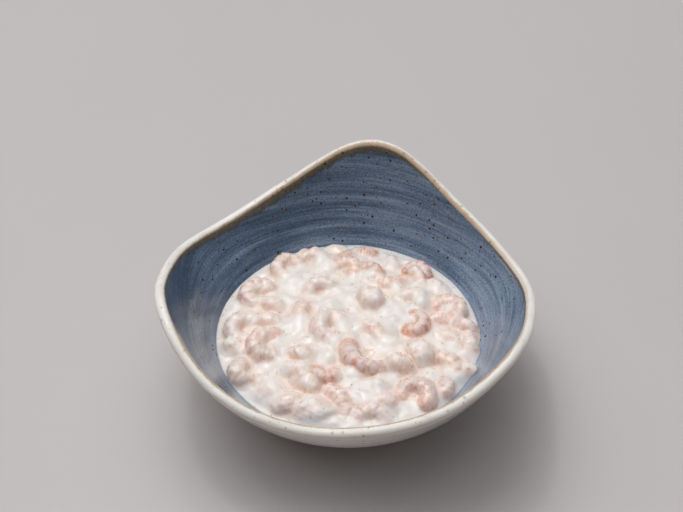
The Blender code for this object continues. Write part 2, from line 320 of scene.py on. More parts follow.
rings = streaks(1.1, 300.0)
fine_rings = streaks(2.4, 1300.0)
grain = place.noise(1100.0, 2.0, 0.7)
cloud = place.noise(28.0, 3.0)
way_x = nodes.node("ShaderNodeSeparateXYZ", {0: round_way}, output="X")
way_y = nodes.node("ShaderNodeSeparateXYZ", {0: round_way}, output="Y")
painted_light_right = way_x.rise(-0.6, 1.0)
to_back = (way_x * -0.35 + way_y * 0.94).rise(0.45, 1.0)
scorched = (way_x * 0.55 + way_y * 0.6).rise(-0.1, 0.8) + (0.0 - way_y).rise(0.2, 0.8)
# Painted light: besides its own streaks, grain and cloud, the blue is made lighter towards the right
# wall and a little towards the back wall.
blue_mix = (rings * 0.55 + fine_rings * 0.35 + grain * 0.45 + cloud * 0.15 + painted_light_right * 0.16
            + to_back * 0.04 - 0.05)
blue = nodes.node("ShaderNodeValToRGB", {0: blue_mix}, stops=BLUES)
# Painted reflection: low on the walls towards the front, the blue turns paler and greyer.
painted_reflection_low = (1.0 - above_table.rise(28.0 * MM, 48.0 * MM)) * (1.0 - way_y.rise(-0.3, 0.5))
blue = (painted_reflection_low * 0.45).mix(blue, REFLECTED_PALE_BLUE)
cream_mix = streaks(1.4, 300.0) * 0.6 + place.noise(45.0, 3.0) * 0.4
cream = nodes.node("ShaderNodeValToRGB", {0: cream_mix}, stops=CREAMS)
# Painted shade: the outside wall turns greyer below the lip.
cream = (lip.rise(4.0, 9.0) * 0.5).mix(cream, SHADED_LOWER_CREAM)
drip = (streaks(9.0, 50.0) - 0.5) * 3.0 + (streaks(26.0, 30.0) - 0.5) * 3.5 + (grain - 0.5) * 3.0
to_sides = way_x.maths("ABSOLUTE", way_x).rise(0.75, 1.0)
band = 0.5 + to_back * 4.0 + to_sides * 1.4 + drip * (0.4 + to_back * 1.2)
olive = (place.noise(500.0, 3.0) * 0.6 + (lip + 8.0) / 12.0).rise(0.2, 0.9).mix(*OLIVES)
olive_share = (lip + band + 3.0).rise(-0.3, 0.8) * (1.0 - (lip + drip * 0.2).rise(-3.4, -2.6))
tan = place.noise(200.0, 3.0).mix(*TANS)
tan_in = (lip + drip * 0.2).rise(-3.8, -3.0) * (
    1.0 - (lip + drip * 0.4 - scorched * 1.5).rise(-2.8, -1.8))
tan_out = (lip + drip * 0.2).rise(2.4, 3.6) * (1.0 - (lip + drip * 0.3).rise(4.0, 6.0))
colour = (lip + drip * 0.15).rise(-3.6, -2.8).mix(blue, cream)
colour = (olive_share * 0.92).mix(colour, olive)
colour = (tan_in * (0.85 - to_sides * 0.45)).mix(colour, tan)
colour = (tan_out * 0.5 * (0.35 + cloud)).mix(colour, tan)
on_cream = lip.rise(-3.6, -2.8)
iron = spots(IRON_CELLS, 0.08 * MM, 0.75 * MM)
halo = spots(IRON_CELLS, 0.16 * MM, 1.05 * MM)
fine_iron = spots(FINE_CELLS, 0.08 * MM, 0.34 * MM)
colour = (halo * (0.45 - on_cream * 0.25)).mix(colour, RUST)
colour = (iron * (0.95 - on_cream * 0.75)).mix(colour, IRON)
colour = (fine_iron * (0.75 - on_cream * 0.65)).mix(colour, FINE_IRON)
under = (lip - GLAZE_END).rise(0.0, 2.0)
colour = under.mix(colour, BARE_CLAY)
relief = (fine_rings * 0.5 + rings * 0.8) * (1.0 - on_cream * 0.7) + grain * 0.15
plug(shader, Base_Color=colour,
     Roughness=0.09 + cloud * 0.10 + under * 0.5,
     Normal=nodes.bump(relief, 0.10 * MM, 0.5))
bowl.data.materials.append(glaze)
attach(bowl, "root")
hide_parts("bowl")


# ---- Shrimps --------------------------------------------------------------------------------------
# Small cold-water shrimps, cooked and peeled: each is a tail of six rings curled up by the heat, white
# inside and blushed pink to red along the back. Their lie follows the heap, from back to front.
LEVEL = 28.5 * MM                               # where the dressing meets the wall
MOUND = 6.0 * MM                                # the heap's middle stands above its edge
POOL = 66.9 * MM                                # radius of the dressing at that level
SHRIMP_GIRTH = 3.9 * MM                         # half the thickness of the flesh, without its coat
SHRIMP_GAP = 1.8 * MM                           # kept between its flesh and the bowl's wall
TAIL_RINGS = 6
TAIL_TUCK = 0.14                                # how much tighter the curl gets towards the tail's end
TAIL_TAPER = 0.32                               # and how much thinner the tail gets
GROOVE_DEPTH = 0.115                            # of the thickness, between two rings of a tail
GROOVE_WIDTH = 0.12                             # of a ring
GROOVE_AT_SIDE = 0.55                           # share of the groove's depth on the tail's sides
GROOVE_TO_BACK = 0.45                           # share that its back adds and its belly loses
SMOOTH_LIES = ("stub", "back")                  # these show no grooves
SWEEP_TRIM = 0.4                                # girths that each end of the curl is cut back by
END_REACH = 0.8                                 # girths that the round ends reach past the curl
END_POWER = 7                                   # how blunt the ends are
GROWTH = 0.06                                   # how unequal two shrimps of one kind are
SHRIMP_SEED = 7
SHRIMP_STEPS = 60                               # points along a tail
SHRIMP_SIDES = 24                               # and round it
SAME_POINT = 0.002 * MM                         # points nearer than this are merged, at a tail's tips
# How a shrimp lies: (lean, degrees swept by the curl, radius of the curl).
LIES = {
    "curl": (12, 240, 7.2 * MM),
    "half": (38, 215, 7.2 * MM),
    "back": (74, 165, 7.0 * MM),
    "long": (60, 110, 12.0 * MM),
    "hook": (14, 140, 12.0 * MM),
    "stub": (66, 120, 5.2 * MM),
    "small": (20, 195, 5.2 * MM),
    "open": (16, 215, 6.4 * MM),
}
# How it lies, x, y in millimetres from the bowl's axis, the way its back faces in degrees, how far
# its middle stands above the dressing, its thickness, its blush, and how bare of dressing it is.
SHRIMPS = (
    ("stub", -7, 59, 90, 0.2, 0.90, 0.15, 0.0),
    ("stub", 9, 57, 80, 1.0, 0.90, 0.80, 0.7),
    ("curl", -20, 50, 95, 0.8, 1.00, 0.35, 0.3),
    ("back", 22, 50, 10, -0.6, 0.90, 0.20, 0.0),
    ("back", -2, 50, 150, 1.6, 0.90, 0.80, 0.7),
    ("curl", -31, 45, 170, 2.2, 1.00, 0.40, 0.3),
    ("small", 36, 41, 80, 2.6, 0.95, 1.00, 0.95),
    ("small", 11, 40, 60, 1.8, 0.90, 0.95, 0.7),
    ("small", -1, 44, 50, 1.8, 0.90, 0.55, 0.4),
    ("half", 23, 37, 270, 1.8, 0.95, 0.60, 0.4),
    ("half", 32, 37, 20, 1.0, 0.95, 0.45, 0.3),
    ("back", 45, 31, 30, -0.6, 1.05, 0.10, 0.0),
    ("half", -14, 25, 110, 1.6, 1.00, 0.25, 0.1),
    ("curl", -46, 24, 165, 2.2, 1.10, 0.40, 0.3),
    ("back", 32, 21, 100, 1.6, 1.00, 0.30, 0.1),
    ("stub", 9, 18, 60, 1.2, 1.70, 0.05, 0.0),
    ("stub", -41, 15, 60, 1.8, 1.00, 0.30, 0.1),
    ("curl", 51, 14, 55, 2.2, 1.05, 0.55, 0.5),
    ("back", -22, 9, 159, 1.8, 1.00, 0.45, 0.2),
    ("open", 33, 3, -10, 2.4, 0.86, 0.90, 0.8),
    ("stub", 46, 5, 90, 0.8, 0.85, 0.50, 0.2),
    ("stub", -42, 3, 80, 1.8, 0.95, 0.30, 0.2),
    ("back", 57, 2, 60, 2.2, 1.10, 0.45, 0.3),
    ("curl", -52, 0, 160, 1.8, 1.00, 0.30, 0.1),
    ("curl", -8, -3, 165, 2.0, 1.10, 0.30, 0.1),
    ("back", 50, -6, 60, 0.4, 0.95, 0.50, 0.2),
    ("long", 8, -7, 60, 1.2, 0.90, 0.50, 0.3),
    ("back", 59, -8, 20, 1.6, 1.00, 0.30, 0.2),
    ("curl", -40, -13, 192, 2.6, 1.12, 0.45, 0.4),
    ("stub", -58, -12, 90, 0.8, 0.95, 0.10, 0.0),
    ("stub", 33, -18, 30, 2.6, 1.45, 0.10, 0.0),
    ("hook", 12, -19, 225, 2.5, 1.18, 0.65, 0.8),
    ("stub", -25, -21, 80, 1.8, 1.10, 0.35, 0.1),
    ("half", 46, -26, 50, 1.8, 1.05, 0.50, 0.4),
    ("stub", 23, -28, 80, 2.6, 1.25, 0.35, 0.2),
    ("small", -50, -29, 215, 2.0, 1.10, 0.35, 0.2),
    ("stub", 57, -28, 80, 1.4, 0.95, 0.30, 0.2),
    ("stub", -27, -31, 60, 2.0, 1.05, 0.25, 0.1),
    ("small", -11, -31, 270, 2.0, 0.95, 0.85, 0.7),
    ("stub", 45, -37, 10, 1.8, 1.05, 0.45, 0.3),
    ("stub", -21, -39, 80, 2.2, 1.15, 0.30, 0.2),
    ("curl", 32, -44, 80, 2.4, 1.00, 0.55, 0.7),
    ("back", -38, -43, 95, 1.0, 1.05, 0.25, 0.1),
    ("long", -10, -48, 44, 1.6, 1.05, 0.50, 0.3),
    ("back", 5, -47, 95, 0.2, 0.95, 0.20, 0.1),
    ("stub", 16, -50, 90, 1.6, 1.00, 0.40, 0.2),
    ("stub", -30, -51, 90, 2.0, 1.20, 0.20, 0.1),
    ("back", -18, -55, 95, 2.2, 1.50, 0.10, 0.0),
    ("half", 10, -58, 100, 1.4, 1.05, 0.45, 0.2),
)


def mound_height(radius):
    """Height of the dressing between the shrimps."""
    return LEVEL + MOUND * (1 - np.minimum(radius / POOL, 1.0) ** 2)


class Shrimp:
    """One shrimp's curl in its own axes: the arc in x and y, its back towards +x."""

    def __init__(self, row, draws):
        lie, x, y, turn, rise, girth, self.blush, self.bare = row
        lean, sweep, self.bend = LIES[lie]
        turn += 180 * GROWTH * draws.uniform(-1, 1)
        girth *= 1 + GROWTH * draws.uniform(-1, 1)
        self.girth = SHRIMP_GIRTH * girth
        self.groove_depth = GROOVE_DEPTH * (lie not in SMOOTH_LIES)
        self.half_sweep = math.radians(sweep) / 2 - SWEEP_TRIM * self.girth / self.bend
        low = self.bend * math.sin(math.radians(lean))
        height = mound_height(math.hypot(x, y) * MM) + rise * MM - low
        self.middle = np.array((x * MM, y * MM, height))
        self.axes = np.array(Matrix.Rotation(math.radians(turn), 3, "Z")
                             @ Matrix.Rotation(math.radians(-lean), 3, "Y"))

    def thickness(self, t, back):
        """Half its thickness, with a groove between each two rings of the tail, deepest on its back."""
        ring = t * TAIL_RINGS
        groove = np.exp(-((ring - np.round(ring)) / GROOVE_WIDTH) ** 2)
        groove = groove * (GROOVE_AT_SIDE + GROOVE_TO_BACK * back)
        groove = groove * (ring > 0.5) * (ring < TAIL_RINGS - 0.5) * self.groove_depth
        return self.girth * (1 - TAIL_TAPER * t * t) * (1 - groove)

    def distance(self, points):
        """How far points are outside its skin, and how far along it they lie, 0 at the head end."""
        local = (points - self.middle) @ self.axes
        angle = np.clip(np.arctan2(local[:, 1], local[:, 0]), -self.half_sweep, self.half_sweep)
        t = angle / (2 * self.half_sweep) + 0.5
        reach = self.bend * (1 - TAIL_TUCK * t)
        off = local - np.stack((reach * np.cos(angle), reach * np.sin(angle), 0 * angle), axis=1)
        length = np.linalg.norm(off, axis=1) + 1e-9
        back = (np.hypot(local[:, 0], local[:, 1]) - reach) / length
        return length - self.thickness(t, back), t


def inside_radius(height):
    """Radius of the bowl's inner wall at a height."""
    return np.interp(height, inner_line[:, 1], inner_line[:, 0])


shrimp_draws = random.Random(SHRIMP_SEED)
shrimps = [Shrimp(row, shrimp_draws) for row in SHRIMPS]
points, faces, along_tail, on_back, blushes = [], [], [], [], []
t = (1 - np.cos(np.linspace(0, math.pi, SHRIMP_STEPS + 1))) / 2
around = np.arange(SHRIMP_SIDES) * 2 * math.pi / SHRIMP_SIDES
for shrimp in shrimps:
    end = shrimp.girth * END_REACH / (2 * shrimp.half_sweep * shrimp.bend)
    stretched = t * (1 + 2 * end) - end
    angle = (stretched - 0.5) * 2 * shrimp.half_sweep
    reach = shrimp.bend * (1 - TAIL_TUCK * stretched)
    rings_at = t * TAIL_RINGS
    outward = np.cos(around)                    # 1 on the back, -1 on the belly
    round_ends = (1 - np.abs(2 * t - 1) ** END_POWER) ** 0.5
    radius = shrimp.thickness(t[:, None], outward) * round_ends[:, None]
    local = np.stack(((reach[:, None] + radius * outward) * np.cos(angle)[:, None],
                      (reach[:, None] + radius * outward) * np.sin(angle)[:, None],
                      radius * np.sin(around)), axis=2).reshape(-1, 3)
    skin = local @ shrimp.axes.T + shrimp.middle
    wall = inside_radius(skin[:, 2]) - SHRIMP_GAP
    skin[:, :2] *= np.minimum(1, wall / np.hypot(skin[:, 0], skin[:, 1]))[:, None]
    first = sum(len(p) for p in points)
    number = np.arange(len(skin)).reshape(-1, SHRIMP_SIDES) + first
    beside = np.roll(number, -1, axis=1)
    points.append(skin)
    faces.append(np.stack((number[:-1], beside[:-1], beside[1:], number[1:]), axis=2).reshape(-1, 4))
    along_tail.append(np.repeat(rings_at, SHRIMP_SIDES))
    on_back.append(np.tile(outward, SHRIMP_STEPS + 1))
    blushes.append(np.full(len(skin), shrimp.blush))
tails = mesh_object("shrimp_tails", np.vstack(points) + AXIS, np.vstack(faces).tolist())
add_attribute(tails, "ring", np.concatenate(along_tail))
add_attribute(tails, "back", np.concatenate(on_back))
add_attribute(tails, "blush", np.concatenate(blushes))
joined = bmesh.new()
joined.from_mesh(tails.data)
bmesh.ops.remove_doubles(joined, verts=joined.verts, dist=SAME_POINT)
bmesh.ops.recalc_face_normals(joined, faces=joined.faces)
joined.to_mesh(tails.data)
joined.free()

WHITE_FLESH = (srgb(238, 216, 210), srgb(246, 232, 228))
BLUSHED_FLESH = (srgb(230, 180, 168), srgb(240, 204, 196))
RED_BANDS = srgb(212, 98, 62)                   # in the grooves of the back

flesh, nodes, shader = new_material("shrimp_flesh", IOR=1.4, Subsurface_Weight=0.25,
                                    Subsurface_Scale=0.004)
shader.inputs["Subsurface Radius"].default_value = (1.0, 0.5, 0.35)
place = nodes.node("ShaderNodeTexCoord", output="Object")
ring = nodes.node("ShaderNodeAttribute", output="Fac", attribute_name="ring")
back = nodes.node("ShaderNodeAttribute", output="Fac", attribute_name="back")
blush = nodes.node("ShaderNodeAttribute", output="Fac", attribute_name="blush")
mottle = place.noise(420.0, 3.0, 0.6)
wander = ring + (place.noise(260.0, 2.0) - 0.5) * 0.5
off_groove = wander - wander.maths("ROUND", wander)
stripe = 1.0 - off_groove.maths("ABSOLUTE", off_groove).rise(0.05, 0.30)
reddened = (back + (mottle - 0.5) * 0.8).rise(-0.4, 1.0) * blush
colour = (reddened * 0.75).mix(mottle.mix(*WHITE_FLESH), mottle.mix(*BLUSHED_FLESH))
broken = place.noise(300.0, 2.0).rise(0.4, 0.62)
colour = (stripe * reddened * broken * 0.85).mix(colour, RED_BANDS)
plug(shader, Base_Color=colour, Roughness=0.22 + mottle * 0.16,
     Normal=nodes.bump(mottle, 0.12 * MM, 0.5))
tails.data.materials.append(flesh)
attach(tails, "root")
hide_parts("salad")


# ---- Dressing -------------------------------------------------------------------------------------
# Thick cream and mayonnaise, poured up to a level in the bowl, heaped in the middle and folded round
# every shrimp. It is the skin of a field of distances: the pool and the shrimps' coats, each coat of
# uneven thickness and some rubbed through, run together with rounded valleys.
CELL = 0.56 * MM                                # of the grid that the field is worked out on
TOP = 45.0 * MM
BOTTOM = 26.5 * MM
HALF_SPAN = 70 * MM
REACH = 3 * MM                                  # how far off a lump or a shrimp bends the field
FAR = 10 * MM                                   # stands for any distance beyond that
FILM_REACH = 9 * MM                             # dressing this near to a curl takes its tint
INTO_WALL = 0.4 * MM                            # it reaches into the wall, so that no gap shows
WALL_LEAN = 0.8                                 # true distance to the leaning wall, for a level one of 1
WALL_ROWS = 5                                   # of faces down the wall, below the field
COAT = 0.9 * MM                                 # the usual film over a shrimp
RUBBED = 1.35 * MM                              # how much thinner it gets on a bare one
UNEVEN_COAT = 0.40 * MM                         # how much it swells and thins from place to place
LUMPY = 0.7                                     # and how much more uneven it is on a large one
PATCHES = ((9 * MM, 0.8), (4 * MM, 0.4), (2 * MM, 0.12))        # of thick and thin coat: size, share
PATCH_WAVES = 8
VALLEY = 3.0 * MM                               # rounding between a shrimp and the pool
CREASE = 1.2 * MM                               # rounding between two shrimps
LUMP_VALLEY = 3.5 * MM                          # rounding between a lump and the pool
ROUND_EDGE = 2 * CELL                           # rounding where it meets the wall
MENISCUS = 0.7 * MM                             # how far it creeps up the wall
MENISCUS_WIDTH = 1.1 * MM
POOL_WAVES = ((17 * MM, 0.9 * MM), (8 * MM, 0.35 * MM))  # its folds: size, height
FOLD_WAVES = 9
CALM_EDGE = 8 * MM                              # the folds die away this near the wall
POURED = 1.3 * MM                               # the pool stands this far above the mound's curve
LUMPS = 40                                      # small pieces under the surface
LUMP = (3.0 * MM, 5.5 * MM)                     # their radii
LUMP_SUNK = (0.4, 0.9)                          # radii that their middles lie below the pool
LUMP_SQUASH = (0.75, 1.25)
LUMP_INSET = 6 * MM                             # between their middles and the wall
HOLLOW = 0.75                                   # of a curl's radius, where dressing pools inside it
# Partly real run-off, partly painted shade: sides show more of the shrimp's darker tint and tops stay
# whiter.
RUN_OFF_AND_SHADE = 0.8                                   # millimetres of film gained from a side to a top
TOP_FACING = 0.8                                # upright part of the normal where none is gained
SLOPE = (0.97, 0.57)                            # that part where a slope begins, and where it is steep
SINK_REACH = 6                                  # cells to each side that a dip is measured against
DRESSING_SEED = 11


def waves_over(points, size, count, draws):
    """Smooth unevenness between about -1 and 1, with bumps of this size."""
    total = np.zeros(len(points))
    for _ in range(count):
        direction = draws.normal(size=3)
        direction *= 2 * math.pi / (size * draws.uniform(0.7, 1.6) * np.linalg.norm(direction))
        total += np.sin(points @ direction + draws.uniform(0, 2 * math.pi))
    return total / math.sqrt(count)


def smooth_min(a, b, reach):
    """The lesser of two fields, rounded where they differ by less than reach."""
    near = np.maximum(reach - np.abs(a - b), 0) / reach
    return np.minimum(a, b) - near * near * reach / 4


def box_blur(values, reach, axis):
    """Mean over this many cells to both sides."""
    return sum(np.roll(values, shift, axis) for shift in range(-reach, reach + 1)) / (2 * reach + 1)


span = np.arange(-HALF_SPAN, HALF_SPAN, CELL)
heights = np.arange(BOTTOM, TOP, CELL)
corner = np.array((span[0], span[0], heights[0]))
grid = np.stack(np.meshgrid(span, span, heights, indexing="ij"), axis=3)


def block_round(middle, reach):
    """The slices of the grid within reach of a point, and the points there."""
    low = np.floor((middle - reach - corner) / CELL).astype(int).clip(0)
    high = np.ceil((middle + reach - corner) / CELL).astype(int) + 1
    block = tuple(slice(a, b) for a, b in zip(low, high))
    return block, grid[block].reshape(-1, 3)


plan = grid[:, :, 0] * (1, 1, 0)
plan_radius = np.hypot(plan[..., 0], plan[..., 1])
folds = np.zeros(plan_radius.size)
draws = np.random.default_rng(DRESSING_SEED)
for size, tall in POOL_WAVES:
    folds += tall * waves_over(plan.reshape(-1, 3), size, FOLD_WAVES, draws)
to_wall = inside_radius(grid[..., 2]) + INTO_WALL - plan_radius[..., None]
climb = MENISCUS * np.exp(-np.maximum(to_wall - INTO_WALL, 0) / MENISCUS_WIDTH)
calm = np.clip(to_wall / CALM_EDGE, 0, 1)
unevenness = (POURED + folds.reshape(plan_radius.shape)[..., None]) * calm
pool = grid[..., 2] - mound_height(plan_radius)[..., None] - climb - unevenness
lumps = np.full(pool.shape, FAR)
for _ in range(LUMPS):
    turn = draws.uniform(0, 2 * math.pi)
    away = (POOL - LUMP_INSET) * math.sqrt(draws.uniform())
    size = draws.uniform(*LUMP)
    middle = np.array((away * math.cos(turn), away * math.sin(turn),
                       mound_height(away) + POURED - size * draws.uniform(*LUMP_SUNK)))
    block, near = block_round(middle, size + REACH)
    distance = np.linalg.norm((near - middle) * draws.uniform(*LUMP_SQUASH, 3), axis=1) - size
    lumps[block] = smooth_min(lumps[block], distance.reshape(lumps[block].shape), CREASE)
pool = smooth_min(pool, lumps, LUMP_VALLEY)
coats = np.full(pool.shape, FAR)
for shrimp in shrimps:
    block, near = block_round(shrimp.middle, shrimp.bend + shrimp.girth + REACH)
    distance, _ = shrimp.distance(near)
    patches = sum(share * waves_over(near, size, PATCH_WAVES, draws) for size, share in PATCHES)
    whole = 1 + LUMPY * (shrimp.girth / SHRIMP_GIRTH - 1)
    film = COAT - RUBBED * shrimp.bare + UNEVEN_COAT * whole * patches
    coats[block] = smooth_min(coats[block], (distance - film).reshape(coats[block].shape), CREASE)
field = -smooth_min(-smooth_min(pool, coats, VALLEY), to_wall * WALL_LEAN, ROUND_EDGE)
# Where only two opposite corners of a face of the grid are inside, all four become so, because there
# two lumps would meet along a single edge and the skin wouldn't be closed.
BARELY_INSIDE = -0.05 * CELL
for axes in ((0, 1), (1, 2), (2, 0)) * 2:
    inside = field < 0
    ahead = np.roll(inside, -1, axes[0])
    crossed = (ahead != inside) & (ahead == np.roll(inside, -1, axes[1]))
    crossed &= inside == np.roll(ahead, -1, axes[1])
    for steps in ((0, 0), (1, 0), (0, 1), (1, 1)):
        corners = np.roll(crossed, steps, axes)
        field[corners] = np.minimum(field[corners], BARELY_INSIDE)


def skin_of(field):
    """Points and quads of a field's zero level: one point in each cell that the level crosses."""
    inside = field < 0
    corners = [inside[i:i - 1 or None, j:j - 1 or None, k:k - 1 or None]
               for i in (0, 1) for j in (0, 1) for k in (0, 1)]
    corners = [c[:inside.shape[0] - 1, :inside.shape[1] - 1, :inside.shape[2] - 1] for c in corners]
    crossed = np.logical_or.reduce(corners) & ~np.logical_and.reduce(corners)
    cells = np.argwhere(crossed)
    number = np.full(crossed.shape, -1)
    number[crossed] = np.arange(len(cells))
    total = np.zeros((len(cells), 3))
    count = np.zeros(len(cells))
    quads = []
    for axis in range(3):
        step = np.eye(3, dtype=int)[axis]
        across = np.eye(3, dtype=int)[(axis + 1) % 3]
        up = np.eye(3, dtype=int)[(axis + 2) % 3]
        for start in (cells, cells + across, cells + up, cells + across + up):
            a = field[tuple(start.T)]
            b = field[tuple((start + step).T)]
            hit = (a < 0) != (b < 0)
            total[hit] += (start + step * (a / np.where(hit, a - b, 1))[:, None])[hit]
            count += hit
        ahead = np.roll(inside, -1, axis=axis)
        change = np.argwhere(inside != ahead)
        fits = change[:, axis] < inside.shape[axis] - 1
        for other in ((axis + 1) % 3, (axis + 2) % 3):
            fits &= (change[:, other] > 0) & (change[:, other] < inside.shape[other] - 1)
        change = change[fits]
        loop = [number[tuple(c.T)] for c in
                (change - across - up, change - up, change, change - across)]
        loop = np.stack(loop, axis=1)
        leaves = inside[tuple(change.T)]
        quads.append(np.where(leaves[:, None], loop, loop[:, ::-1]))
    return total / count[:, None], np.vstack(quads)


cells, quads = skin_of(field)
skin_points = cells * CELL + corner
dressing = mesh_object("dressing", skin_points + AXIS, quads.tolist())
body = bmesh.new()
body.from_mesh(dressing.data)
hem = [e for e in body.edges if e.is_boundary]
for level in np.linspace(BOTTOM, inner_line[0, 1], WALL_ROWS + 1)[1:]:
    made = bmesh.ops.extrude_edge_only(body, edges=hem)["geom"]
    for vertex in (v for v in made if isinstance(v, bmesh.types.BMVert)):
        way = (vertex.co - Vector(AXIS)).xy.normalized() * float(inside_radius(level))
        vertex.co = (way.x + AXIS[0], way.y + AXIS[1], level)
    hem = [e for e in made if isinstance(e, bmesh.types.BMEdge) and e.is_boundary]
bmesh.ops.holes_fill(body, edges=hem, sides=0)
bmesh.ops.recalc_face_normals(body, faces=body.faces)
bmesh.ops.triangulate(body, faces=[f for f in body.faces if len(f.verts) > 4])
body.to_mesh(dressing.data)
body.free()
dressing.data.shade_smooth()

# What the material reads at each point: the film over the nearest shrimp, that shrimp's blush and rings,
# the slope, the hollows inside curls and between lumps, and how near the wall is. The slope and the dips
# between lumps darken and warm the milk there as painted shade, and the film grows on tops and thins on
# sides, partly as painted shade.
places = np.zeros(len(dressing.data.vertices) * 3)
dressing.data.vertices.foreach_get("co", places)
places = places.reshape(-1, 3) - AXIS
upright = np.zeros(len(places) * 3)
dressing.data.vertex_normals.foreach_get("vector", upright)
upright = upright.reshape(-1, 3)[:, 2]
film = np.full(len(places), FAR)
tint, tail, hollow = np.zeros((3, len(places)))
for shrimp in shrimps:
    near = np.flatnonzero(np.linalg.norm(places - shrimp.middle, axis=1) < shrimp.bend + FILM_REACH)
    distance, down_tail = shrimp.distance(places[near])
    closer = distance < film[near]
    film[near[closer]] = distance[closer]
    tint[near[closer]] = shrimp.blush
    tail[near[closer]] = down_tail[closer] * TAIL_RINGS
    centre = np.linalg.norm(places[near] - shrimp.middle, axis=1) / (HOLLOW * shrimp.bend)
    hollow[near] = np.maximum(hollow[near], np.clip(1 - centre, 0, 1) * shrimp.blush)
to_edge = inside_radius(places[:, 2]) - np.hypot(places[:, 0], places[:, 1])
top = np.where(field < 0, grid[..., 2], BOTTOM).max(axis=2)
around_it = top
for axis in (0, 1, 0, 1):
    around_it = box_blur(around_it, SINK_REACH, axis)
column = np.clip(np.round((places[:, :2] - span[0]) / CELL).astype(int), 0, len(span) - 1)
sunk = (around_it - top)[column[:, 0], column[:, 1]] / MM
for name, values in (("film", film / MM + RUN_OFF_AND_SHADE * (upright - TOP_FACING)), ("blush", tint),
                     ("ring", tail), ("hollow", hollow), ("edge", to_edge / MM), ("sunk", sunk),
                     ("slope", np.clip((SLOPE[0] - upright) / (SLOPE[0] - SLOPE[1]), 0, 1))):
    add_attribute(dressing, name, values)

MILKS = (srgb(255, 237, 229), srgb(255, 244, 239))
# Partly painted shade: a darker, warmer milk on slopes and in dips.
THIN_AND_SHADED_MILKS = (srgb(238, 206, 193), srgb(240, 210, 180))  # on slopes and in dips
UNDER_FILM = (srgb(240, 212, 207), srgb(242, 214, 190))  # a pale shrimp seen through it
BLUSHED_UNDER = srgb(234, 183, 155)             # and a blushed one
STRIPES = srgb(208, 114, 76)
AMBER = srgb(226, 148, 96)
WALL_THROUGH = srgb(206, 214, 224)              # the blue wall, seen through the thin rim

sauce, nodes, shader = new_material("dressing", IOR=1.42, Subsurface_Weight=0.75,
                                    Subsurface_Scale=0.0038, Coat_Weight=0.6, Coat_Roughness=0.06)
shader.inputs["Subsurface Radius"].default_value = (1.0, 1.0, 1.0)
place = nodes.node("ShaderNodeTexCoord", output="Object")
film = nodes.node("ShaderNodeAttribute", output="Fac", attribute_name="film")
blush = nodes.node("ShaderNodeAttribute", output="Fac", attribute_name="blush")
ring = nodes.node("ShaderNodeAttribute", output="Fac", attribute_name="ring")
mottle = place.noise(260.0, 4.0, 0.6)
fine = place.noise(900.0, 2.0, 0.6)
shows = 1.0 - (film + (mottle - 0.5) * 0.8).rise(0.0, 2.0)
wander = ring + (place.noise(260.0, 2.0) - 0.5) * 0.6
off_groove = wander - wander.maths("ROUND", wander)
stripe = 1.0 - off_groove.maths("ABSOLUTE", off_groove).rise(0.06, 0.34)
hue = place.noise(120.0, 2.0).rise(0.35, 0.65)
under_film = blush.rise(0.2, 1.0).mix(hue.mix(*UNDER_FILM), BLUSHED_UNDER)
milk = place.noise(70.0, 3.0).mix(*MILKS)
slope = nodes.node("ShaderNodeAttribute", output="Fac", attribute_name="slope")
sunk = nodes.node("ShaderNodeAttribute", output="Fac", attribute_name="sunk")
# In dips between lumps the darker, warmer milk is painted shade; on a shrimp's steep sides it is partly
# its thinner film and partly painted shade.
thin_and_shaded = (slope * (1.0 - film.rise(0.3, 1.6)) * 0.5 + sunk.rise(-0.1, 1.4) * 0.6
        + (mottle - 0.5) * 0.5).rise(0.0, 1.0)
milk = (thin_and_shaded * 0.55).mix(milk, hue.mix(*THIN_AND_SHADED_MILKS))
colour = (shows * (0.34 + blush * 0.32)).mix(milk, under_film)
colour = (shows * stripe * blush * 0.7 * fine.rise(0.35, 0.65)).mix(colour, STRIPES)
hollow = nodes.node("ShaderNodeAttribute", output="Fac", attribute_name="hollow")
amber = (place.noise(330.0, 3.0, 0.65) + hollow * 0.14).rise(0.60, 0.70)
amber = amber * (shows * 0.8 + hollow * 1.2)
colour = (amber * 0.7).mix(colour, AMBER)
edge = nodes.node("ShaderNodeAttribute", output="Fac", attribute_name="edge")
colour = (1.0 - edge.rise(0.2, 1.3)).mix(colour, WALL_THROUGH)
plug(shader, Base_Color=colour, Roughness=0.16 + fine * 0.14,
     Normal=nodes.bump((mottle * 0.6 + fine * 0.4) * (1.0 - shows * 0.5), 0.30 * MM, 0.5))
dressing.data.materials.append(sauce)
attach(dressing, "root")
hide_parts("salad")


# ---- Specks ---------------------------------------------------------------------------------------
# Roe and spice stirred into the dressing: grains of 0.4 to 0.8 mm, from tan to orange and brown,
# sunk to about their middle and strewn at random over all that shows of the salad.
GRAINS = 38000.0                                # on a square metre
SMALLEST = 0.18 * MM                            # radii of a grain
LARGEST = 0.40 * MM
GRAINS_FROM = LEVEL - 1 * MM                    # the lowest that grains lie
GRAINS_FACING = 0.15                            # least upright part of the normal under a grain
GRAINS_INSET = 1.2 * MM                         # between a grain and the wall
GRAIN_SEED = 5
GRAIN_TONES = ((0.0, srgb(240, 200, 146)), (0.5, srgb(232, 172, 104)),
               (0.9, srgb(222, 148, 84)), (1.0, srgb(190, 128, 88)))

open_top = (places[:, 2] > GRAINS_FROM) & (upright > GRAINS_FACING) & (to_edge > GRAINS_INSET)
add_attribute(dressing, "open_top", open_top)
grain_skin, nodes, shader = new_material("specks", IOR=1.4, Roughness=0.35)
tone = nodes.node("ShaderNodeAttribute", output="Fac", attribute_name="tone")
plug(shader, Base_Color=nodes.node("ShaderNodeValToRGB", {0: tone}, stops=GRAIN_TONES))

